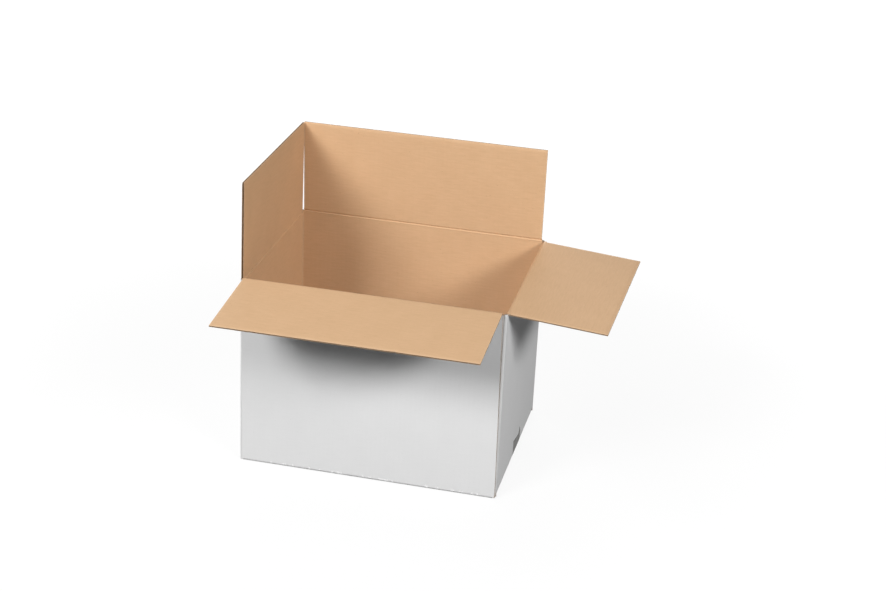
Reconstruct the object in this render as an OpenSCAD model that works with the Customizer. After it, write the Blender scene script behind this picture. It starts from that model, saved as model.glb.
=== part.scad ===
// A regular slotted carton of single-wall corrugated board, standing open.
// One sheet makes the walls, the glue lap and all eight flaps. The bottom flaps are folded
// shut and taped. The top flaps turn on creases that run along the outer face of each wall.
// Origin: the middle of the base, on the floor. +X runs along the long walls, +Z is up.

/* [Inside of the closed carton] */
// Length between the end walls
inner_l = 350; // [220:5:600]
// Width between the long walls
inner_w = 265; // [160:5:500]
// Height between the closed flaps
inner_h = 255; // [100:5:500]

/* [Board] */
// Thickness of the board over both liners
board_t = 3; // [2:0.1:4]
// Thickness of each flat liner
liner_t = 0.3; // [0.2:0.05:0.4]
// Thickness of the wavy sheet between the liners
medium_t = 0.25; // [0.15:0.05:0.35]
// Distance from one flute to the next
flute_pitch = 6.5; // [5:0.1:9]
// Length of the flutes that stay open behind a flap's free edge
flute_depth = 12; // [4:1:30]

/* [Folds and slots] */
// Inner radius of a finished fold
fold_r = 0.6; // [0.4:0.1:1.1]
// Gap that a slot leaves between a flap's end and the inner face of the wall round the corner
slot_gap = 1.2; // [1.2:0.1:4]
// Height at which a slot stops short of the long walls' crease
slot_stop = 1.5; // [0.5:0.1:3]
// Gap between two flaps that meet over the middle
seam_gap = 5; // [0.5:0.1:6]
// Gap between plies of board that lie on one another
ply_gap = 0.4; // [0.2:0.1:1]
// Gap between wall and flap in a shut crease
crease_gap = 0.2; // [0.1:0.05:0.5]
// Gap beside a flap's ends where it swings past the corner
swing_gap = 0.3; // [0.2:0.05:1]

/* [Glued corner] */
// Width of the glue lap
lap_w = 35; // [20:1:60]
// Angle at which the ends of the lap are cut away
lap_cut = 14; // [5:1:30]
// Depth to which the glued lap is pressed into the front wall
lap_press = 0.2; // [0.1:0.05:0.5]
// Distance from the corner to the front wall's raw edge at the bottom
raw_edge = 1.4; // [1:0.1:4]
// How much further the raw edge stands from the corner at the top
raw_edge_slant = 4.2; // [0:0.1:8]

/* [Flaps at rest] */
// Angle from upright to the front flap, folded out and hanging a little below level
front_open_deg = 94.5; // [60:0.5:150]
// Angle from upright to the right flap, folded out
right_open_deg = 94.5; // [60:0.5:150]
// How much less the right flap reaches at its front end, where its free edge is cut out of square
right_skew = 7; // [0:0.5:12]
// Distance that the upright back flap's free edge leans over the inside
back_lean = 1.2; // [0:0.1:1.2]
// The same distance for the left flap
left_lean = 1; // [0:0.1:1.2]

/* [Tape] */
// Width of the tape
tape_w = 50; // [36:1:75]
// Thickness of the tape
tape_t = 0.1; // [0.05:0.05:0.2]
// Distance of the tape's middle from the seam, towards the back
tape_shift = 6; // [-10:1:10]
// Height of the turned-up end at its front side
tape_rise_front = 28; // [15:1:60]
// Height of the turned-up end at its back side
tape_rise_back = 18; // [15:1:60]
// Distance from one tooth of the torn end to the next
tape_tooth = 2.5; // [2:0.5:5]
// Depth of those teeth
tape_tooth_depth = 0.8; // [0.3:0.1:2]
// Gap left under the tape where it rounds a fold
tape_lift = 0.03; // [0.02:0.01:0.1]

/* [Hidden] */
$fn = 48;

// Outer size of the walls, and the outer radius of every fold
outer_l = inner_l + 2 * board_t;
outer_w = inner_w + 2 * board_t;
fold_out = fold_r + board_t;

// Length of a fold's straight ends, which lie inside the sheet that the fold joins
fold_end = (slot_gap - fold_r) / 2;

// Distance by which a cut runs past the face that it opens
cut_over = 1;

// Levels. The long bottom flaps lie on the floor with the end flaps on top of them, and the
// creases of the end walls stand one ply inside those of the long walls at both ends.
ply_step = board_t + ply_gap;
floor_z = ply_step + board_t;
end_crease_z = floor_z + inner_h + board_t;
long_crease_z = end_crease_z + ply_step;

// Each flap's ends stand back from the outer face of the wall round the corner
flap_inset = board_t + slot_gap;
raw_edge_top = raw_edge + raw_edge_slant;
corner_low_z = slot_stop;
corner_high_z = long_crease_z - slot_stop;

// The long flaps meet over the middle, and all flaps end at one line across the sheet
long_reach = (outer_w - seam_gap) / 2;
end_reach = long_reach + ply_step;

// The lap's outer face, seen from above
lap_y = board_t - lap_press;

// Straight pieces that draw the arch of one flute, and the upright distance from the middle of
// the sloping wavy sheet to its face, as a share of its thickness
arch_steps = 5;
arch_skin = 0.65;

// Colours of the sheet and of the tape
outer_white = [0.93, 0.93, 0.93];
kraft = [0.80, 0.63, 0.46];
tape_grey = [0.47, 0.46, 0.44];

// Everything on one wall is drawn in that wall's own frame: x runs along the wall, y runs
// inward from its outer face and z is up. side turns it from the front wall to the others.
FRONT = 0;
RIGHT = 90;
BACK = 180;
LEFT = 270;
function is_long(side) = side == FRONT || side == BACK;
function half_depth(side) = (is_long(side) ? outer_w : outer_l) / 2;
function half_length(side) = (is_long(side) ? outer_l : outer_w) / 2;
function crease_z(side) = is_long(side) ? long_crease_z : end_crease_z;
function ply_z(side) = is_long(side) ? 0 : ply_step;
function reach(side) = is_long(side) ? long_reach : end_reach;

// The right wall starts behind the front wall, because its lap is glued inside it
function wall_start(side) = -half_length(side) + (side == RIGHT ? lap_y : 0);
function crease_start(side) = wall_start(side) + flap_inset;
function crease_end(side) = min(half_length(side) - flap_inset, wall_end_top(side));

// Where a wall ends. The front wall ends at the sheet's raw edge, cut a little out of square,
// and every other wall at its fold.
function wall_end(side) = half_length(side) - (side == FRONT ? raw_edge : fold_out);
function wall_end_top(side) = half_length(side) - (side == FRONT ? raw_edge_top : fold_out);

module on_wall(side) {
    rotate([0, 0, side]) translate([0, -half_depth(side), 0]) children();
}

// Turns an outline in y and z into a bar from x0 to x1
module bar(x0, x1) {
    translate([x0, 0, 0]) rotate([90, 0, 90]) linear_extrude(x1 - x0) children();
}

// Turns an outline in x and z into a plate from y0 to y0 + thickness
module plate(y0, thickness) {
    translate([0, y0 + thickness, 0]) rotate([90, 0, 0]) linear_extrude(thickness) children();
}

// A quarter of a fold, from the outer face at x = 0 round to the face at y = 0
module fold_quarter() {
    translate([fold_out, fold_out]) intersection() {
        difference() {
            circle(fold_out);
            circle(fold_r);
        }
        translate([-fold_out, -fold_out]) square(fold_out);
    }
    translate([0, fold_out]) square([board_t, fold_end]);
    translate([fold_out, 0]) square([fold_end, board_t]);
}

// Bottom flap of one wall with the fold that joins it to the wall
module bottom_flap(side) {
    translate([0, 0, ply_z(side)]) bar(crease_start(side), half_length(side) - flap_inset) {
        fold_quarter();
        translate([fold_out, 0]) square([reach(side) - fold_out, board_t]);
    }
}

// Wall between its two folds, notched to the slots and to its bottom fold, with the slope that
// the closed top flap shuts on
module wall(side) {
    x0 = wall_start(side) + fold_out;
    x1 = half_length(side) - flap_inset;
    low = ply_z(side) + fold_out;
    high = crease_z(side);
    top_end = wall_end_top(side);
    flap_end = crease_end(side);
    difference() {
        plate(0, board_t) polygon([
            [x0, corner_low_z],
            [crease_start(side), corner_low_z],
            [crease_start(side), low],
            [x1, low],
            [x1, corner_low_z],
            [wall_end(side), corner_low_z],
            [top_end, corner_high_z],
            each flap_end < top_end ? [[flap_end, corner_high_z]] : [],
            [flap_end, high],
            [crease_start(side), high],
            [crease_start(side), corner_high_z],
            [x0, corner_high_z]
        ]);
        bar(crease_start(side), flap_end)
            polygon([[-cut_over, high + cut_over], [board_t + cut_over, high + cut_over],
                     [board_t + cut_over, high - board_t - cut_over]]);
    }
}

// Upright fold at the start of a wall
module corner_fold(side) {
    translate([wall_start(side), 0, corner_low_z])
        linear_extrude(corner_high_z - corner_low_z) fold_quarter();
}

// Glue lap with its tapered ends, drawn in the front wall's frame
module glue_lap() {
    x1 = half_length(FRONT) - fold_out;
    low = floor_z + board_t;
    high = end_crease_z - board_t;
    cut = lap_w * tan(lap_cut);
    plate(lap_y, board_t)
        polygon([[x1, low], [x1, high], [x1 - lap_w, high - cut], [x1 - lap_w, low + cut]]);
}

// The tape is pressed flush into the long bottom flaps
module tape_track() {
    translate([-outer_l / 2, tape_shift - tape_w / 2, -tape_t])
        cube([outer_l, tape_w, 2 * tape_t]);
}

module carton_body() {
    color(outer_white) difference() {
        union() {
            for (side = [FRONT, RIGHT, BACK, LEFT]) on_wall(side) {
                wall(side);
                corner_fold(side);
                bottom_flap(side);
            }
            on_wall(FRONT) glue_lap();
        }
        tape_track();
    }
}

// One open flute: flat on the liner at y = liner_t, and arched under the wavy sheet
module flute_mouth() {
    wave = (board_t - 2 * liner_t - medium_t) / 2;
    skin = arch_skin * medium_t;
    half = acos(-(board_t / 2 - liner_t - skin) / wave) / 360 * flute_pitch;
    polygon([for (k = [0 : arch_steps])
        let (x = half * (2 * k / arch_steps - 1))
        [x, board_t / 2 + wave * cos(360 * x / flute_pitch) - skin]]);
}

// Open flutes on both sides of the wavy sheet, along an edge of that length
module flute_mouths(length) {
    count = floor(length / flute_pitch);
    first = (length - (count - 1) * flute_pitch) / 2;
    for (i = [0 : count - 1]) translate([first + i * flute_pitch, 0]) flute_mouth();
    for (i = [0 : count - 2])
        translate([first + (i + 0.5) * flute_pitch, board_t]) mirror([0, 1]) flute_mouth();
}

// Top flap of one wall, turned outward by open degrees about the crease on the outer face. Its
// free edge runs back by skew at the wall's start.
module top_flap(side, open, skew = 0) {
    x0 = crease_start(side) + swing_gap;
    x1 = crease_end(side) - swing_gap;
    far = reach(side);
    flute_start = far - skew - flute_depth;
    back = board_t + cut_over;
    on_wall(side) translate([0, 0, crease_z(side)]) rotate([open, 0, 0]) difference() {
        intersection() {
            plate(0, board_t) polygon([[x0, 0], [x1, 0], [x1, far], [x0, far - skew]]);
            bar(x0 - cut_over, x1 + cut_over)
                polygon([[-cut_over, crease_gap - cut_over], [back, back + crease_gap],
                         [back, far + cut_over], [-cut_over, far + cut_over]]);
        }
        translate([x0, 0, flute_start]) linear_extrude(far + cut_over - flute_start)
            flute_mouths(x1 - x0);
    }
}

module front_flap() { color(kraft) top_flap(FRONT, front_open_deg); }
module back_flap() { color(kraft) top_flap(BACK, -asin(back_lean / reach(BACK))); }
module left_flap() { color(kraft) top_flap(LEFT, -asin(left_lean / reach(LEFT))); }
module right_flap() { color(kraft) top_flap(RIGHT, right_open_deg, right_skew); }

// Where the tape leaves the long flaps' ends, it runs straight to the fold of the end wall and
// round it. The last point on the flaps and the fold's middle give the angle of that stretch.
tape_leave = [outer_l / 2 - flap_inset, tape_t];
tape_middle = [outer_l / 2 - fold_out, ply_step + fold_out];
tape_radius = fold_out + tape_lift;
tape_way = tape_middle - tape_leave;
tape_tilt = atan2(tape_way[1], tape_way[0]) - asin(tape_radius / norm(tape_way));
tape_steps = 4;
tape_top = max(tape_rise_front, tape_rise_back) + tape_tooth_depth;

// Line of the tape's face that lies offset away from the board, down one end wall and under
function tape_line(offset) = concat(
    [[tape_middle[0] + tape_radius + offset, tape_top]],
    [for (i = [0 : tape_steps])
        let (a = -i / tape_steps * (90 - tape_tilt))
        tape_middle + (tape_radius + offset) * [cos(a), sin(a)]],
    [[tape_leave[0] + offset * tan(tape_tilt / 2), tape_t - offset]]
);

// The same line on the other end wall, and the way back along each
function reversed(line) = [for (i = [len(line) - 1 : -1 : 0]) line[i]];
function turned(line) = [for (p = line) [-p[0], p[1]]];
function flipped(line) = reversed(turned(line));

// Height of the torn end at a distance u behind the tape's front side
function rise(u) = tape_rise_front + (tape_rise_back - tape_rise_front) * u / tape_w;

// What is cut off above the torn end, which is a slanting row of teeth
module torn_off() {
    count = round(tape_w / tape_tooth);
    step = tape_w / count;
    over = 1;
    polygon(concat(
        [[-over, tape_top + over], [-over, rise(0)]],
        [for (i = [0 : count - 1]) each [
            [i * step, rise(i * step)],
            [(i + 0.5) * step, rise((i + 0.5) * step) - tape_tooth_depth]]],
        [[tape_w, rise(tape_w)], [tape_w + over, rise(tape_w)], [tape_w + over, tape_top + over]]
    ));
}

module bottom_tape() {
    front_y = tape_shift - tape_w / 2;
    color(tape_grey) difference() {
        translate([0, front_y, 0]) plate(0, tape_w)
            polygon(concat(tape_line(0), flipped(tape_line(0)),
                           turned(tape_line(tape_t)), reversed(tape_line(tape_t))));
        for (x = [-outer_l / 2, outer_l / 2])
            translate([0, front_y, 0]) bar(x - board_t, x + board_t) torn_off();
    }
}

carton_body();
front_flap();
back_flap();
left_flap();
right_flap();
bottom_tape();
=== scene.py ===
import math
from collections import namedtuple

import bmesh
import bpy
from mathutils import Matrix, Vector, noise
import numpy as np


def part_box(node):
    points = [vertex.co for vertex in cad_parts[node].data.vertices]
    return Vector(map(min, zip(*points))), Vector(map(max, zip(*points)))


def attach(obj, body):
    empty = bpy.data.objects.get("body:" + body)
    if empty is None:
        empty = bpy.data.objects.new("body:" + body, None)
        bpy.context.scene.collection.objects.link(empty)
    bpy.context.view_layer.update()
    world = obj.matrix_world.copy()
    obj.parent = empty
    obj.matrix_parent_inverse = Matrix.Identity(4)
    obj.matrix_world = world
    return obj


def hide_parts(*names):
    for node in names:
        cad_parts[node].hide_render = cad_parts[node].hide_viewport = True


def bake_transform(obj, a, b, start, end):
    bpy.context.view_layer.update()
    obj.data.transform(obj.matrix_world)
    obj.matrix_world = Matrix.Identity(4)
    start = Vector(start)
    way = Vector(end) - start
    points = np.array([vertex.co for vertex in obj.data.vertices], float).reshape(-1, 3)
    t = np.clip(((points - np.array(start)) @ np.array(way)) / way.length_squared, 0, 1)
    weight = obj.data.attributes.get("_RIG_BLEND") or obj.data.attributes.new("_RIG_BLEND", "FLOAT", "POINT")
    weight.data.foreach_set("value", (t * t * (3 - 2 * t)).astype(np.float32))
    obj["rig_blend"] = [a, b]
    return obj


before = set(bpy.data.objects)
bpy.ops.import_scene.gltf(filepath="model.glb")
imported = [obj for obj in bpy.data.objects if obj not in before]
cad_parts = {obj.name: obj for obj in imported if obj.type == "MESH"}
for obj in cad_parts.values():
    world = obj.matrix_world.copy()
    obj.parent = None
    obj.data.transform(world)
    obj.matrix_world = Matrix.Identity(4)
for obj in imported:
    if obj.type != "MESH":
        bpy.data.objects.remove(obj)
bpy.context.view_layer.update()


# The carton blank: one sheet of corrugated board, white outside and brown inside, with its flutes
# running up the walls. It is folded round the four walls, closed by a tapered lap glued inside
# the front wall, and folded in at the bottom, the end flaps first and the long flaps over them.

# Lengths are in millimetres. Folds are rounded, and slots part each flap from the wall round the
# corner. The end walls' flaps lie one ply inside the long walls' flaps, at top and bottom.
MM = 0.001
board_t = 3.0
flute_pitch = 6.5
fold_out = 3.6
flap_inset = 4.2
ply_step = 3.4
slot_low = 1.5
corner_drop = 0.6

# The front wall ends in the sheet's raw edge, which slants away from the corner towards the top.
raw_edge = 1.4
raw_edge_top = 5.6
slant_width = 20.0

body_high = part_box("carton_body")[1]
half_l = body_high.x / MM
half_w = body_high.y / MM
long_crease_z = body_high.z / MM
end_crease_z = long_crease_z - ply_step
slot_high = long_crease_z - corner_drop

# Liners sink a little between the flutes that they are glued to, which shows as faint upright
# lines. The sinking dies out where a fold or a cut has crushed the flutes. Cut edges are rubbed.
washboard = 0.035
crushed_width = 7.0
wear_width = 1.6
fine_step = flute_pitch / 8

WHITE, KRAFT, EDGE, MEDIUM = range(4)
FRONT, RIGHT, BACK, LEFT = 0, 90, 180, 270
SIDES = (FRONT, RIGHT, BACK, LEFT)


def is_long(side):
    return side in (FRONT, BACK)


def half_length(side):
    return half_l if is_long(side) else half_w


def crease_z(side):
    return long_crease_z if is_long(side) else end_crease_z


def ply(side):
    """Height at which a side's bottom flap lies."""
    return 0 if is_long(side) else ply_step


def on_wall(side, x, y, z):
    """A point x along a wall, y inward from its outer face and z up, in the carton's frame."""
    half_depth = half_w if is_long(side) else half_l
    return Matrix.Rotation(math.radians(side), 3, "Z") @ Vector((x, y - half_depth, z))


def spread(first, last, step):
    """Evenly spaced values from first to last, about one step apart."""
    count = max(1, round((last - first) / step))
    return [first + (last - first) * i / count for i in range(count + 1)]


def ease(t):
    """0 up to 0, 1 from 1 on, and a smooth rise between them."""
    t = min(max(t, 0), 1)
    return t * t * (3 - 2 * t)


def edge_distance(u, v, us, vs, hinged=False):
    """How far a point is from the nearest edge of its stretch of board. A hinged stretch has a
    crease, and no edge, where v starts."""
    return min(u - us[0], us[-1] - u, vs[-1] - v, v - vs[0] + (crushed_width if hinged else 0))


def new_board():
    """An empty mesh with the layers that all board has."""
    bm = bmesh.new()
    bm.loops.layers.uv.new("sheet")
    bm.verts.layers.float.new("wear")
    return bm


def add_board(bm, us, vs, place, depths=(0, board_t), slots=(WHITE, KRAFT, EDGE), rippled=True,
              worn=0.25, hinged=False):
    """A closed stretch of board. us run along the fold, vs run along the flutes, and place turns
    (u, v, depth under the white face) into a point. The first slot is the outer face."""
    uv = bm.loops.layers.uv["sheet"]
    wear = bm.verts.layers.float["wear"]
    sides = []
    for side in (0, 1):
        rows = []
        for v in vs:
            row = []
            for u in us:
                uncrushed = ease(edge_distance(u, v, us, vs) / crushed_width)
                tip = math.cos(2 * math.pi * u / flute_pitch) * (1 - 2 * side)
                sink = washboard * (1 - tip) / 2 * uncrushed if rippled else 0
                vert = bm.verts.new(place(u, v, depths[side] + sink * (1 - 2 * side)) * MM)
                vert[wear] = worn * math.exp(-edge_distance(u, v, us, vs, hinged) / wear_width)
                row.append(vert)
            rows.append(row)
        sides.append(rows)

    def add(corners, slot):
        face = bm.faces.new([vert for vert, a, b in corners])
        face.material_index = slot
        face.smooth = True
        for loop, (vert, a, b) in zip(face.loops, corners):
            loop[uv].uv = (a * MM, b * MM)

    outer, inner = sides
    low, high = depths
    last_u, last_v = len(us) - 1, len(vs) - 1
    for j in range(last_v):
        for i in range(last_u):
            ring = [(j, i), (j, i + 1), (j + 1, i + 1), (j + 1, i)]
            add([(outer[a][b], us[b], vs[a]) for a, b in ring], slots[0])
            add([(inner[a][b], us[b], vs[a]) for a, b in ring[::-1]], slots[1])
    for j in (0, last_v):
        for i in range(last_u):
            add([(outer[j][i], us[i], low), (inner[j][i], us[i], high),
                 (inner[j][i + 1], us[i + 1], high), (outer[j][i + 1], us[i + 1], low)], slots[2])
    for i in (0, last_u):
        for j in range(last_v):
            add([(outer[j][i], vs[j], low), (outer[j + 1][i], vs[j + 1], low),
                 (inner[j + 1][i], vs[j + 1], high), (inner[j][i], vs[j], high)], slots[2])


def join_stretches(bm):
    """Welds stretches of board where they meet, to a thousandth of a millimetre, and takes away
    the faces between them."""
    bmesh.ops.remove_doubles(bm, verts=bm.verts, dist=1e-6)
    seen = {}
    for face in bm.faces:
        seen.setdefault(frozenset(face.verts), []).append(face)
    twins = [face for group in seen.values() if len(group) > 1 for face in group]
    bmesh.ops.delete(bm, geom=twins, context="FACES")


# The walls, with their rounded corners and bottom folds. The sheet starts at the right wall's
# front corner, behind the front wall's raw edge. Each wall's top slopes in from its crease.
lap_y = 2.8
low_row, high_row = 16.0, 252.0
above_fold = 1.5
rows_under_crease = (6.0, 3.4, 0)
corner_step_deg, fold_step_deg = 9, 15


def wall_start(side):
    return -half_length(side) + (lap_y if side == RIGHT else 0)


def crease_start(side):
    return wall_start(side) + flap_inset


def wall_end(side):
    return half_length(side) - flap_inset


def wall_place(side):
    end = wall_end(side)

    def place(u, v, depth):
        z = min(v, crease_z(side) - depth)
        if side == FRONT and u > end - slant_width:
            slant = raw_edge + (raw_edge_top - raw_edge) * (z - slot_low) / (slot_high - slot_low)
            u += (half_l - slant - end) * (u - end + slant_width) / slant_width
        return on_wall(side, u, depth, z)

    return place


def corner_place(side):
    def place(u, v, depth):
        turn = math.radians(min(max(u, 0), 90))
        r = fold_out - depth
        x = fold_out - r * math.cos(turn) + max(u - 90, 0)
        y = fold_out - r * math.sin(turn) - min(u, 0)
        return on_wall(side, wall_start(side) + x, y, v)

    return place


def bottom_fold_place(side):
    def place(u, v, depth):
        turn = math.radians(v)
        r = fold_out - depth
        y = fold_out - r * math.cos(turn)
        return on_wall(side, u, y, ply(side) + fold_out - r * math.sin(turn))

    return place


blank = new_board()
strip = flap_inset - fold_out
corner_columns = [-strip] + spread(0, 90, corner_step_deg) + [90 + strip]
corner_rows = [slot_low, low_row, high_row, slot_high]
for side in SIDES:
    columns = spread(crease_start(side), wall_end(side), fine_step)
    fold_z = ply(side) + fold_out
    wall_rows = [fold_z, fold_z + above_fold, low_row, high_row]
    wall_rows += [crease_z(side) - drop for drop in rows_under_crease]
    add_board(blank, columns, wall_rows, wall_place(side))
    add_board(blank, corner_columns, corner_rows, corner_place(side), rippled=False)
    add_board(blank, columns, spread(0, 90, fold_step_deg), bottom_fold_place(side), rippled=False, worn=0)
join_stretches(blank)


# The short tab under the front wall's raw edge, and the lap behind that edge. The lap's ends are
# cut away at a slant, and only its tip in the notch stands up to the slot.
lap_w = 35.0
lap_taper_deg = 14
lap_taper = math.tan(math.radians(lap_taper_deg))
lap_low, lap_high = 9.4, 264.0
lap_fold = half_l - fold_out
lap_column, lap_row = 2.0, 0.1
tip_rise = 2.6
tip_gap, tip_ramp = 0.05, 0.3
tip_start = half_l - raw_edge_top + tip_gap
tip_full = tip_start + tip_ramp


def tab_place(u, v, depth):
    return on_wall(FRONT, u, depth, v)


def lap_place(u, v, depth):
    cut = lap_taper * (lap_fold - u)
    low, high = lap_low + cut, lap_high - cut + (tip_rise if u >= tip_full else 0)
    return on_wall(FRONT, u, lap_y + depth, low + (high - low) * v)


tab_columns = [half_l - flap_inset, half_l - raw_edge]
lap_columns = spread(lap_fold - lap_w, tip_start, lap_column) + [tip_full, lap_fold]
add_board(blank, tab_columns, [slot_low, fold_out], tab_place, rippled=False)
add_board(blank, lap_columns, spread(0, 1, lap_row), lap_place, rippled=False)


# The bottom flaps, with their flutes open at the free edges: two flat liners with a wavy sheet
# glued between them. Cutting pinches the board, so that it thins towards a cut edge, and leaves
# it slightly ragged. The long flaps have a shallow track under the tape.
liner_t = 0.3
medium_t = 0.25
wave_height = (board_t - 2 * liner_t - medium_t) / 2
long_reach = 133.0
end_reach = long_reach + ply_step
coarse_step = flute_pitch / 4
wave_step = flute_pitch / 12
wave_rows = 5
glue = 0.01
pinch, slight_pinch = 0.42, 0.15
pinch_width = 2.4
ragged = 0.3
ragged_width = 3.0
ragged_scale = 7.0
ragged_seed = 3.1
tape_near, tape_far = -19.0, 31.0
tape_sink = 0.12
track_ramp = 0.2
rows_by_fold = (fold_out, 10, 60)
rows_by_cut = (8, 5, 3, 1, 0)


def reach(side):
    return long_reach if is_long(side) else end_reach


def add_fluted(bm, us, vs, place, side_pinch=(slight_pinch, slight_pinch), dents=()):
    """Hinged board that shows its flutes at the cut: two liners with the wavy sheet between them.
    side_pinch is the pinch at its first and its last side. Dents are knocks in its free edge,
    each given by its place along u, its depth and its width."""
    middle = board_t / 2

    def cut(u, v, depth):
        from_side, from_end = min(u - us[0], us[-1] - u), vs[-1] - v
        first_half = u < (us[0] + us[-1]) / 2
        side_near = side_pinch[0 if first_half else 1] * math.exp(-(from_side / pinch_width) ** 2)
        near = max(pinch * math.exp(-(from_end / pinch_width) ** 2), side_near)
        side = math.exp(-(from_side / ragged_width) ** 2)
        end = math.exp(-(from_end / ragged_width) ** 2)
        grain = noise.noise(Vector((u / ragged_scale, v / ragged_scale, ragged_seed)))
        bite = ragged * (0.5 + 0.5 * grain)
        knock = sum(deep * math.exp(-((u - at) / wide) ** 2) for at, deep, wide in dents)
        inward = 1 if first_half else -1
        thinned = middle + (depth - middle) * (1 - near)
        return place(u + inward * bite * side, v - (bite + knock) * end, thinned)

    def wave(u, v, depth):
        return cut(u, v, depth - (wave_height - glue) * math.cos(2 * math.pi * u / flute_pitch))

    add_board(bm, us, vs, cut, (0, liner_t), (WHITE, MEDIUM, EDGE), worn=1, hinged=True)
    add_board(bm, us, vs, cut, (board_t - liner_t, board_t), (MEDIUM, KRAFT, EDGE), worn=1, hinged=True)
    add_board(bm, spread(us[0], us[-1], wave_step), [vs[0]] + vs[-wave_rows:], wave,
              (middle - medium_t / 2, middle + medium_t / 2), (MEDIUM, MEDIUM, EDGE), rippled=False, worn=0)


def bottom_place(side):
    def place(u, v, depth):
        point = on_wall(side, u, v, ply(side) + depth)
        if is_long(side) and depth < liner_t and tape_near < point.y < tape_far:
            point.z = max(point.z, tape_sink)
        return point

    return place


for side in SIDES:
    near_tape = half_w + (tape_near if side == FRONT else -tape_far)
    track = [near_tape, near_tape + track_ramp] if is_long(side) else []
    rows = [*rows_by_fold, *track, *(reach(side) - gap for gap in rows_by_cut)]
    add_fluted(blank, spread(crease_start(side), wall_end(side), coarse_step), rows, bottom_place(side))

# The white face is rubbed through along the right wall's bottom fold, by its front corner.
scuff_from, scuff_full = -92.0, 30.0
scuff_low, scuff_high = 1.0, 6.5
scuff_skin = 1.5
scuff_worn = 1.6
wear = blank.verts.layers.float["wear"]
for vert in blank.verts:
    x, y, z = vert.co / MM
    if x > half_l - scuff_skin and scuff_low < z < scuff_high and y < scuff_from:
        vert[wear] = scuff_worn * ease((scuff_from - y) / scuff_full)


# The finish of the board. Both liners are matt paper with long fibres that run across the
# flutes, small flecks, cloudy patches and faint flute lines of painted shade. Cut edges and folds are worn.

# How many features a metre there are, across the flutes and along them.
fibre_scale, cloud_scale, grain_scale = (50, 420), (26, 18), (2600, 2600)
fleck_scale, flute_line_patch_scale, rub_scale = (420, 800), (60, 9), (260, 260)

# Flecks are where their noise passes a threshold, which falls as they grow more common.
fleck_threshold, fleck_common, fleck_edge, fleck_shade = 0.78, 0.1, 14.0, 0.7
fibre_height, grain_height = 0.6, 0.4
line_sharp = 4.0
dull_paper, dull_swing = 0.6, 0.2


def new_group(name, inputs, outputs):
    """A shader node group with number inputs and number outputs."""
    group = bpy.data.node_groups.new(name, "ShaderNodeTree")
    for label, value in inputs:
        socket = group.interface.new_socket(label, in_out="INPUT", socket_type="NodeSocketFloat")
        socket.default_value = value
    for label in outputs:
        group.interface.new_socket(label, in_out="OUTPUT", socket_type="NodeSocketFloat")
    return group, group.nodes.new("NodeGroupInput"), group.nodes.new("NodeGroupOutput")


def place_group(tree, group, **values):
    """Puts a node group into a material with its own values."""
    node = tree.nodes.new("ShaderNodeGroup")
    node.node_tree = group
    for label, value in values.items():
        node.inputs[label].default_value = value
    return node


def math_node(tree, operation, *values, clamp=False):
    """A Math node whose inputs are numbers or other nodes' sockets."""
    node = tree.nodes.new("ShaderNodeMath")
    node.operation = operation
    node.use_clamp = clamp
    for socket, value in zip(node.inputs, values):
        if isinstance(value, (int, float)):
            socket.default_value = value
        else:
            tree.links.new(value, socket)
    return node.outputs[0]


def mix_colours(tree, factor, a, b):
    """A colour between a and b, each a colour or another node's socket."""
    node = tree.nodes.new("ShaderNodeMix")
    node.data_type = "RGBA"
    ports = {"Factor": node.inputs[0], "A": node.inputs[6], "B": node.inputs[7]}
    for label, value in (("Factor", factor), ("A", a), ("B", b)):
        if isinstance(value, (int, float)):
            ports[label].default_value = value
        elif isinstance(value, tuple):
            ports[label].default_value = (*value, 1)
        else:
            tree.links.new(value, ports[label])
    return node.outputs[2]


def noise_node(tree, vector, stretch, detail=2.0, rough=0.6):
    """Noise over the sheet, stretched to that many features a metre along u and v."""
    mapping = tree.nodes.new("ShaderNodeMapping")
    mapping.inputs["Scale"].default_value = (*stretch, 1)
    tree.links.new(vector, mapping.inputs["Vector"])
    node = tree.nodes.new("ShaderNodeTexNoise")
    node.inputs["Scale"].default_value = 1
    node.inputs["Detail"].default_value = detail
    node.inputs["Roughness"].default_value = rough
    tree.links.new(mapping.outputs[0], node.inputs["Vector"])
    return node.outputs["Fac"]


def add_relief(tree, shader, height, strength, distance):
    """Raises a material's surface by a height, as far as distance says."""
    relief = tree.nodes.new("ShaderNodeBump")
    relief.inputs["Strength"].default_value = strength
    relief.inputs["Distance"].default_value = distance
    tree.links.new(height, relief.inputs["Height"])
    tree.links.new(relief.outputs[0], shader.inputs["Normal"])


def sheet_uv(tree):
    """The place on the sheet in metres, across the flutes and along them."""
    node = tree.nodes.new("ShaderNodeUVMap")
    node.uv_map = "sheet"
    return node.outputs[0]


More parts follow.
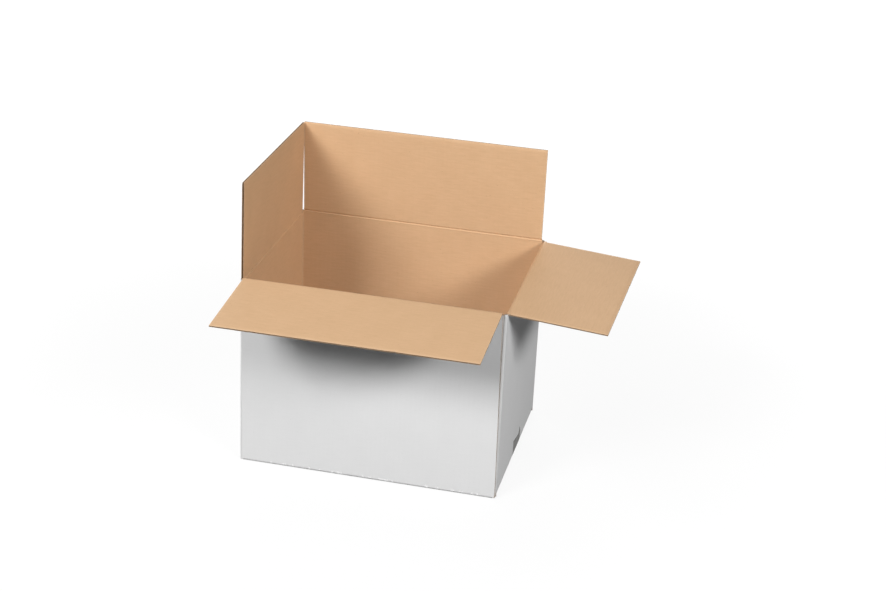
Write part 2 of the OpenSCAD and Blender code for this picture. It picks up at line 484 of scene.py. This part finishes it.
def paper_fibre_group():
    """Tone: 0.5 on plain paper. Fleck: 1 on a dark fleck. Height: the paper's grain."""
    shares = [("Fibre", 0.4), ("Cloud", 0.3), ("Grain", 0.3), ("Flecks", 0.5)]
    group, given, made = new_group("paper_fibre", shares, ["Tone", "Fleck", "Height"])
    uv = sheet_uv(group)
    fibre = noise_node(group, uv, fibre_scale, detail=5.0, rough=0.7)
    cloud = noise_node(group, uv, cloud_scale, detail=3.0, rough=0.5)
    grain = noise_node(group, uv, grain_scale)
    spots = noise_node(group, uv, fleck_scale, detail=1.0)
    tone = 0.5
    for source, share in ((fibre, "Fibre"), (cloud, "Cloud"), (grain, "Grain")):
        swing = math_node(group, "SUBTRACT", source, 0.5)
        part = math_node(group, "MULTIPLY", swing, given.outputs[share])
        tone = math_node(group, "ADD", part, tone)
    threshold = math_node(group, "MULTIPLY_ADD", given.outputs["Flecks"], -fleck_common, fleck_threshold)
    over = math_node(group, "SUBTRACT", spots, threshold)
    fleck = math_node(group, "MULTIPLY", over, fleck_edge, clamp=True)
    fine = math_node(group, "MULTIPLY", grain, grain_height)
    height = math_node(group, "MULTIPLY_ADD", fibre, fibre_height, fine)
    group.links.new(tone, made.inputs["Tone"])
    group.links.new(fleck, made.inputs["Fleck"])
    group.links.new(height, made.inputs["Height"])
    return group


def flute_lines_group():
    """Line: 1 along the flute tips, in patches, where the paper is darkened with painted shade of the
    washboard.
    """
    group, given, made = new_group("flute_lines", [("Pitch", flute_pitch * MM), ("Uneven", 0.6)], ["Line"])
    uv = sheet_uv(group)
    split = group.nodes.new("ShaderNodeSeparateXYZ")
    group.links.new(uv, split.inputs[0])
    turns = math_node(group, "DIVIDE", split.outputs["X"], given.outputs["Pitch"])
    angle = math_node(group, "MULTIPLY", turns, 2 * math.pi)
    tip = math_node(group, "MULTIPLY_ADD", math_node(group, "COSINE", angle), 0.5, 0.5)
    line = math_node(group, "POWER", tip, line_sharp)
    patchy = math_node(group, "SUBTRACT", noise_node(group, uv, flute_line_patch_scale), 0.5)
    amount = math_node(group, "MULTIPLY_ADD", patchy, given.outputs["Uneven"], 0.5)
    group.links.new(math_node(group, "MULTIPLY", line, amount, clamp=True), made.inputs["Line"])
    return group


def rubbed_group():
    """Mask: where folds and cut edges are rubbed, broken up by the paper's own grain."""
    group, given, made = new_group("rubbed", [("Reach", 1.0), ("Broken", 0.8)], ["Mask"])
    worn = group.nodes.new("ShaderNodeAttribute")
    worn.attribute_name = "wear"
    patches = noise_node(group, sheet_uv(group), rub_scale, detail=3.0)
    swing = math_node(group, "SUBTRACT", patches, 0.5)
    broken = math_node(group, "MULTIPLY_ADD", swing, given.outputs["Broken"], worn.outputs["Fac"])
    mask = math_node(group, "MULTIPLY", broken, given.outputs["Reach"])
    group.links.new(math_node(group, "MULTIPLY", mask, worn.outputs["Fac"], clamp=True), made.inputs["Mask"])
    return group


paper_fibre = paper_fibre_group()
flute_lines = flute_lines_group()
rubbed = rubbed_group()


def new_material(name, roughness, gloss):
    """A material, its node tree and its shader. gloss is how strongly it mirrors."""
    material = bpy.data.materials.new(name)
    material.use_nodes = True
    shader = material.node_tree.nodes["Principled BSDF"]
    shader.inputs["Roughness"].default_value = roughness
    shader.inputs["Specular IOR Level"].default_value = gloss
    return material, material.node_tree, shader


def paper(name, light, dark, fleck, rub, fibre, cloud, grain, flecks, line_shade, rub_shade, bump):
    """Liner paper. light and dark are its two tones, and rub is what shows where it is rubbed.
    line_shade is how much painted shade darkens the flute lines.
    """
    material, tree, shader = new_material(name, roughness=0.72, gloss=0.12)
    sheet = place_group(tree, paper_fibre, Fibre=fibre, Cloud=cloud, Grain=grain, Flecks=flecks)
    lines = place_group(tree, flute_lines)
    worn = place_group(tree, rubbed)
    colour = mix_colours(tree, sheet.outputs["Tone"], dark, light)
    # The flute lines darken the paper towards its dark tone, as painted shade of the washboard.
    for mask, amount, shade in (
        (sheet.outputs["Fleck"], fleck_shade, fleck),
        (lines.outputs["Line"], line_shade, dark),
        (worn.outputs["Mask"], rub_shade, rub),
    ):
        colour = mix_colours(tree, math_node(tree, "MULTIPLY", mask, amount), colour, shade)
    tree.links.new(colour, shader.inputs["Base Color"])
    rough = math_node(tree, "MULTIPLY_ADD", sheet.outputs["Tone"], dull_swing, dull_paper)
    tree.links.new(rough, shader.inputs["Roughness"])
    add_relief(tree, shader, sheet.outputs["Height"], bump, distance=0.2 * MM)
    return material


def cut_edge():
    """A raw cut through solid-looking stretches: two liners and the wavy sheet, drawn across
    the thickness, which is v on the cut faces. The flutes' hollows between them are painted
    dark brown as painted shade."""
    # The last of these colours is a dark brown painted shade for the hollows between the flutes.
    paper_light, paper_dark, hollow_painted_shade = (0.60, 0.45, 0.33), (0.40, 0.29, 0.20), (0.22, 0.15, 0.10)
    material, tree, shader = new_material("cut_edge", roughness=0.85, gloss=0.2)
    sheet = place_group(tree, paper_fibre, Fibre=0.5, Cloud=0.2, Grain=0.9, Flecks=0.8)
    split = tree.nodes.new("ShaderNodeSeparateXYZ")
    tree.links.new(sheet_uv(tree), split.inputs[0])
    turns = math_node(tree, "MULTIPLY", split.outputs["X"], 2 * math.pi / (flute_pitch * MM))
    swing = math_node(tree, "MULTIPLY", math_node(tree, "COSINE", turns), wave_height * MM)
    off_middle = math_node(tree, "SUBTRACT", split.outputs["Y"], board_t * MM / 2)
    off_wave = math_node(tree, "ABSOLUTE", math_node(tree, "ADD", off_middle, swing))
    in_wave = math_node(tree, "LESS_THAN", off_wave, medium_t * MM)
    to_middle = math_node(tree, "ABSOLUTE", off_middle)
    in_liner = math_node(tree, "GREATER_THAN", to_middle, (board_t / 2 - liner_t) * MM)
    solid = math_node(tree, "MAXIMUM", in_wave, in_liner)
    paper_colour = mix_colours(tree, sheet.outputs["Tone"], paper_dark, paper_light)
    tree.links.new(mix_colours(tree, solid, hollow_painted_shade, paper_colour), shader.inputs["Base Color"])
    return material


white_liner = paper(
    "white_liner", light=(0.89, 0.89, 0.89), dark=(0.785, 0.785, 0.785),
    fleck=(0.47, 0.45, 0.43), rub=(0.55, 0.45, 0.37), fibre=0.35, cloud=0.4, grain=0.2,
    flecks=0.15, line_shade=0.06, rub_shade=0.5, bump=0.25,
)
kraft_liner = paper(
    "kraft_liner", light=(0.715, 0.475, 0.285), dark=(0.575, 0.365, 0.205),
    fleck=(0.30, 0.17, 0.09), rub=(0.80, 0.60, 0.42), fibre=1.0, cloud=0.35, grain=0.6,
    flecks=0.5, line_shade=0.09, rub_shade=0.45, bump=0.35,
)
medium_paper = paper(
    "medium_paper", light=(0.46, 0.31, 0.19), dark=(0.34, 0.22, 0.13),
    fleck=(0.2, 0.12, 0.07), rub=(0.36, 0.25, 0.17), fibre=0.6, cloud=0.3, grain=0.6,
    flecks=0.6, line_shade=0.0, rub_shade=0.0, bump=0.4,
)
board_materials = [white_liner, kraft_liner, cut_edge(), medium_paper]


def finish_piece(bm, name, materials, sharp=35):
    """Turns the mesh into an object whose flat faces stay flat and whose folds are smooth."""
    bmesh.ops.recalc_face_normals(bm, faces=bm.faces)
    mesh = bpy.data.meshes.new(name)
    bm.to_mesh(mesh)
    bm.free()
    mesh.set_sharp_from_angle(angle=math.radians(sharp))
    for material in materials:
        mesh.materials.append(material)
    piece = bpy.data.objects.new(name, mesh)
    bpy.context.scene.collection.objects.link(piece)
    return piece


walls = finish_piece(blank, "carton_blank", board_materials)
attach(walls, "carton")
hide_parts("carton_body")


# The four top flaps. Each is the same board with its flutes open at the free edge, and hangs on
# its crease. The front and right flaps are folded out and hang a little below level, and the
# other two stand upright and lean in slightly. Two of them have small knocks in their edges.
swing_gap = 0.3
crease_gap = 0.2
folded_out = 94.5
back_lean, left_lean = 1.2, 1.0

# The right flap is cut out of square. The back flap widens a little above its left-hand slot, so
# that its corner covers the left flap's, and the slot stays open low down.
right_skew = 7.0
back_spread = 1.4
spread_rise = 60.0
open_pinch, upright_pinch = 0.45, 0.05
front_dents = [(65, 0.9, 2.2), (-120, 0.4, 1.6), (12, 0.3, 2.0)]
right_dents = [(40, 0.4, 2.0)]
rows_by_crease = (0, 3.4, 5, 12)
rows_by_free_edge = (14, 8, 5, 3, 1.4, 0)


def crease_end(side):
    return half_length(side) - (raw_edge_top if side == FRONT else flap_inset)


def lean(distance, side):
    """Opening angle of a flap whose free edge leans in by a distance."""
    return -math.degrees(math.asin(distance / reach(side)))


Flap = namedtuple("Flap", "name opened skew spread_out side_pinch dents")
flaps = {
    FRONT: Flap("front", folded_out, 0, 0, (open_pinch, open_pinch), front_dents),
    RIGHT: Flap("right", folded_out, right_skew, 0, (open_pinch, open_pinch), right_dents),
    BACK: Flap("back", lean(back_lean, BACK), 0, back_spread, (open_pinch, upright_pinch), []),
    LEFT: Flap("left", lean(left_lean, LEFT), 0, 0, (upright_pinch, upright_pinch), []),
}


def flap_place(side, flap, start, end):
    """The place function of one flap between its two ends, in its rest pose."""
    turned = math.radians(flap.opened)

    def place(u, v, depth):
        share = (u - start) / (end - start)
        v = max(v, depth + crease_gap)
        u += flap.spread_out * ease(v / spread_rise) * share
        v -= flap.skew * v / reach(side) * (1 - share)
        y = depth * math.cos(turned) - v * math.sin(turned)
        z = depth * math.sin(turned) + v * math.cos(turned)
        return on_wall(side, u, y, crease_z(side) + z)

    return place


for side, flap in flaps.items():
    start, end = crease_start(side) + swing_gap, crease_end(side) - swing_gap
    rows = [*rows_by_crease, *(reach(side) - gap for gap in rows_by_free_edge)]
    board = new_board()
    add_fluted(board, spread(start, end, fine_step), rows, flap_place(side, flap, start, end),
               flap.side_pinch, flap.dents)
    flap_board = finish_piece(board, flap.name + "_flap_board", board_materials)
    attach(flap_board, flap.name)
    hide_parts(flap.name + "_flap")


# The top creases. The board is crushed along each crease and bends there. Folded out, the brown
# liner is drawn flat over the bend. Upright, it shows a pressed groove with a low ridge below it.
bend_start = 0.3
bend_sharp = 60
groove_deep, groove_at, groove_wide = 1.3, 0.4, 0.7
ridge_high, ridge_at, ridge_wide = 0.2, -1.6, 0.8
section_step = 0.25
crease_inset = 0.05


def crease_section(opened):
    """Section of the crease's brown face at rest, as (inward, up) from the crease on the outer
    face: from the wall's sloping top to the flap's slope. With it, where the bend starts and ends."""
    turned = math.radians(opened)

    def on_flap(v):
        inward = board_t * math.cos(turned) - v * math.sin(turned)
        return inward, board_t * math.sin(turned) + v * math.cos(turned)

    last = on_flap(board_t + crease_gap)
    if opened == folded_out:
        wall_side, flap_side = (board_t, -bend_start), on_flap(bend_start)
        return [(board_t, -board_t), wall_side, flap_side, last], wall_side, flap_side
    section = []
    for v in spread(-board_t, board_t + crease_gap, section_step):
        groove = groove_deep * math.exp(-((v - groove_at) / groove_wide) ** 2)
        ridge = ridge_high * math.exp(-((v - ridge_at) / ridge_wide) ** 2)
        inward, up = (board_t, v) if v < 0 else on_flap(v)
        section.append((inward - groove + ridge, up))
    return section, section[0], last


def add_crease(bm, side, section):
    """The crushed board between a wall and its flap: the brown face's section, and the crease on
    the outer face, drawn along the whole crease."""
    uv = bm.loops.layers.uv["sheet"]
    ring = section + [(0, 0)]
    columns = spread(crease_start(side) + crease_inset, crease_end(side) - crease_inset, coarse_step)
    loops = [[bm.verts.new(on_wall(side, u, y, crease_z(side) + z) * MM) for y, z in ring] for u in columns]
    along = [0]
    for here, there in zip(ring, ring[1:]):
        along.append(along[-1] + math.dist(here, there))
    for i in range(len(columns) - 1):
        for k in range(len(ring)):
            n = (k + 1) % len(ring)
            corners = [(i, k), (i + 1, k), (i + 1, n), (i, n)]
            face = bm.faces.new([loops[a][b] for a, b in corners])
            face.material_index = KRAFT
            face.smooth = True
            for loop, (a, b) in zip(face.loops, corners):
                loop[uv].uv = (columns[a] * MM, along[b] * MM)
    for cut_end in (loops[0], loops[-1]):
        bm.faces.new(cut_end).material_index = EDGE


for side, flap in flaps.items():
    section, *bend = crease_section(flap.opened)
    fold = new_board()
    add_crease(fold, side, section)
    crease = finish_piece(fold, flap.name + "_crease_fold", board_materials, bend_sharp)
    bend_from, bend_to = (on_wall(side, 0, y, crease_z(side) + z) * MM for y, z in bend)
    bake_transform(crease, "carton", flap.name, start=bend_from, end=bend_to)


# The tape. One strip of glossy film is stuck along the bottom seam and up both end walls. It was
# torn off on a toothed blade at a slant, and the tear ran out into a spike at one side.
tape_t = 0.1
tape_lift = 0.03
tape_rise = 28.0
tear_fall = 0.2
spike_at, spike_rise, spike_width = 45.0, 9.5, 4.6
tooth_pitch, tooth_deep = 2.5, 0.8
rise_steps = 5
streak_scale = (40, 500, 60)


def torn_height(u, spiked):
    """Height of a torn end at a distance u across the tape."""
    tooth = abs((u / tooth_pitch) % 1 - 0.5) * 2
    spike = spike_rise * math.exp(-((u - spike_at) / spike_width) ** 2) if spiked else 0
    return tape_rise - tear_fall * u + spike - tooth_deep * (1 - tooth)


def tape_line(offset, top):
    """The tape's line in the plane of the end walls, offset away from the board: down the right
    wall, round its fold and in under the bottom flaps."""
    middle = Vector((half_l - fold_out, ply_step + fold_out))
    leave = Vector((half_l - flap_inset, tape_t))
    way = middle - leave
    radius = fold_out + tape_lift
    tilt = math.atan2(way.y, way.x) - math.asin(radius / way.length)
    steps = range(rise_steps, 0, -1)
    line = [Vector((middle.x + radius + offset, middle.y + (top - middle.y) * k / rise_steps)) for k in steps]
    for angle in spread(0, math.pi / 2 - tilt, math.radians(corner_step_deg)):
        line.append(middle + (radius + offset) * Vector((math.cos(angle), -math.sin(angle))))
    line.append(Vector((leave.x + offset * math.tan(tilt / 2), tape_t - offset)))
    return line


def tape_film():
    """Grey film, with streaks along it."""
    dark_grey, light_grey = (0.075, 0.073, 0.068), (0.16, 0.157, 0.145)
    material, tree, shader = new_material("tape_film", roughness=0.45, gloss=0.15)
    place = tree.nodes.new("ShaderNodeTexCoord")
    mapping = tree.nodes.new("ShaderNodeMapping")
    mapping.inputs["Scale"].default_value = streak_scale
    tree.links.new(place.outputs["Object"], mapping.inputs["Vector"])
    streaks = tree.nodes.new("ShaderNodeTexNoise")
    streaks.inputs["Scale"].default_value = 1
    tree.links.new(mapping.outputs[0], streaks.inputs["Vector"])
    colour = mix_colours(tree, streaks.outputs["Fac"], dark_grey, light_grey)
    tree.links.new(colour, shader.inputs["Base Color"])
    add_relief(tree, shader, streaks.outputs["Fac"], strength=0.5, distance=0.3 * MM)
    return material


film = bmesh.new()
strips = []
for u in spread(0, tape_far - tape_near, tooth_pitch / 4):
    both_faces = []
    for offset in (tape_t, 0):
        right_end = tape_line(offset, torn_height(u, True))
        left_end = tape_line(offset, torn_height(u, False))
        line = right_end + [Vector((-p.x, p.y)) for p in reversed(left_end)]
        both_faces.append([film.verts.new(Vector((p.x, tape_near + u, p.y)) * MM) for p in line])
    outer_line, inner_line = both_faces
    strips.append(outer_line + inner_line[::-1])
for here, there in zip(strips, strips[1:]):
    for k in range(len(here)):
        n = (k + 1) % len(here)
        film.faces.new([here[k], there[k], there[n], here[n]])
for rim in (strips[0], strips[-1]):
    for k in range(len(rim) // 2 - 1):
        film.faces.new([rim[k], rim[k + 1], rim[-2 - k], rim[-1 - k]])
for face in film.faces:
    face.smooth = True
tape = finish_piece(film, "bottom_tape_film", [tape_film()])
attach(tape, "carton")
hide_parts("bottom_tape")


# The studio's floor and room. The floor is pale paper that runs out of sight. The camera sees it
# nearly white, with the carton's shadow on it, and it throws little light back on the carton.
floor_size = 12.0
floor_drop = 0.2
floor_shade = 0.1
paper_share = 0.1
glow_near, glow_far = 0.9, 1.0
glow_from, glow_to = 0.35, 1.3
room_light = 0.04


def add_ray_mask(tree):
    """1 for rays from the camera, and for those that mirror or pass through to the background."""
    rays = tree.nodes.new("ShaderNodeLightPath")
    mirrored = math_node(tree, "MAXIMUM", rays.outputs["Is Glossy Ray"], rays.outputs["Is Transmission Ray"])
    return math_node(tree, "MAXIMUM", rays.outputs["Is Camera Ray"], mirrored)


def add_grey(tree, shade):
    """A matt grey."""
    node = tree.nodes.new("ShaderNodeBsdfDiffuse")
    node.inputs["Color"].default_value = (shade, shade, shade, 1)
    return node.outputs[0]


def floor_paper():
    """Paper that glows faintly for the camera, more so away from the carton, and is grey to light."""
    material = bpy.data.materials.new("floor_paper")
    material.use_nodes = True
    tree = material.node_tree
    tree.nodes.remove(tree.nodes["Principled BSDF"])
    spot = tree.nodes.new("ShaderNodeTexCoord")
    away = tree.nodes.new("ShaderNodeVectorMath")
    away.operation = "LENGTH"
    tree.links.new(spot.outputs["Object"], away.inputs[0])
    strength = tree.nodes.new("ShaderNodeMapRange")
    strength.interpolation_type = "SMOOTHSTEP"
    strength.inputs["From Min"].default_value = glow_from
    strength.inputs["From Max"].default_value = glow_to
    strength.inputs["To Min"].default_value = glow_near
    strength.inputs["To Max"].default_value = glow_far
    tree.links.new(away.outputs["Value"], strength.inputs["Value"])
    glow = tree.nodes.new("ShaderNodeEmission")
    tree.links.new(strength.outputs["Result"], glow.inputs["Strength"])
    pale = tree.nodes.new("ShaderNodeAddShader")
    tree.links.new(glow.outputs[0], pale.inputs[0])
    tree.links.new(add_grey(tree, paper_share), pale.inputs[1])
    chosen = tree.nodes.new("ShaderNodeMixShader")
    tree.links.new(add_ray_mask(tree), chosen.inputs[0])
    tree.links.new(add_grey(tree, floor_shade), chosen.inputs[1])
    tree.links.new(pale.outputs[0], chosen.inputs[2])
    tree.links.new(chosen.outputs[0], tree.nodes["Material Output"].inputs["Surface"])
    return material


bpy.ops.mesh.primitive_plane_add(size=floor_size)
floor = bpy.context.object
floor.name = "studio_floor"
floor.location.z = -floor_drop * MM
floor.data.materials.append(floor_paper())

world = bpy.data.worlds.new("studio")
world.use_nodes = True
bpy.context.scene.world = world
room = world.node_tree
room_strength = math_node(room, "MULTIPLY_ADD", add_ray_mask(room), 1 - room_light, room_light)
room.links.new(room_strength, room.nodes["Background"].inputs["Strength"])
room.nodes["Background"].inputs["Color"].default_value = (1, 1, 1, 1)


# The lamps: two wide soft ones in front to the left and right, one low behind the carton, and a
# faint one above its mouth. Places and sizes are in metres, and powers in watts.
lamp_aim = Vector((0, 0, 0.2))


def soft_lamp(name, place, width, height, power):
    """A soft rectangular lamp that shines at the carton from that place."""
    lamp = bpy.data.lights.new(name, "AREA")
    lamp.shape = "RECTANGLE"
    lamp.size = width
    lamp.size_y = height
    lamp.energy = power
    holder = bpy.data.objects.new(name, lamp)
    holder.location = place
    holder.rotation_mode = "QUATERNION"
    holder.rotation_quaternion = (lamp_aim - holder.location).to_track_quat("-Z", "Y")
    bpy.context.scene.collection.objects.link(holder)


soft_lamp("left_lamp", (-1.675, -2.958, 2.402), width=1.4, height=1.1, power=117)
soft_lamp("right_lamp", (2.178, -1.665, 1.70), width=1.3, height=0.6, power=59)
soft_lamp("back_lamp", (-0.9, 3.1, 0.5), width=1.6, height=0.7, power=90)
soft_lamp("top_lamp", (-0.4, -0.2, 1.28), width=0.5, height=0.5, power=2.8)


# The camera stands where the photograph was taken from. Its place, aim and roll were fitted to
# the carton's corners, and its focal length is in pixels of the 886 pixel wide picture.
picture_width = 886
focal_pixels = 1831.6
sensor_width = 36.0
camera_place = Vector((539.1, -2224.2, 1219.2)) * MM
camera_aim = Vector((64.7, 0, 222.96)) * MM
camera_roll = 2.834
camera = bpy.data.cameras.new("photo_camera")
camera.sensor_width = sensor_width
camera.lens = focal_pixels * sensor_width / picture_width
viewer = bpy.data.objects.new("photo_camera", camera)
viewer.location = camera_place
viewer.rotation_mode = "QUATERNION"
level = (camera_aim - camera_place).to_track_quat("-Z", "Y")
viewer.rotation_quaternion = level @ Matrix.Rotation(math.radians(camera_roll), 3, "Z").to_quaternion()
bpy.context.scene.collection.objects.link(viewer)
bpy.context.scene.camera = viewer
bpy.context.scene.view_settings.view_transform = "Standard"
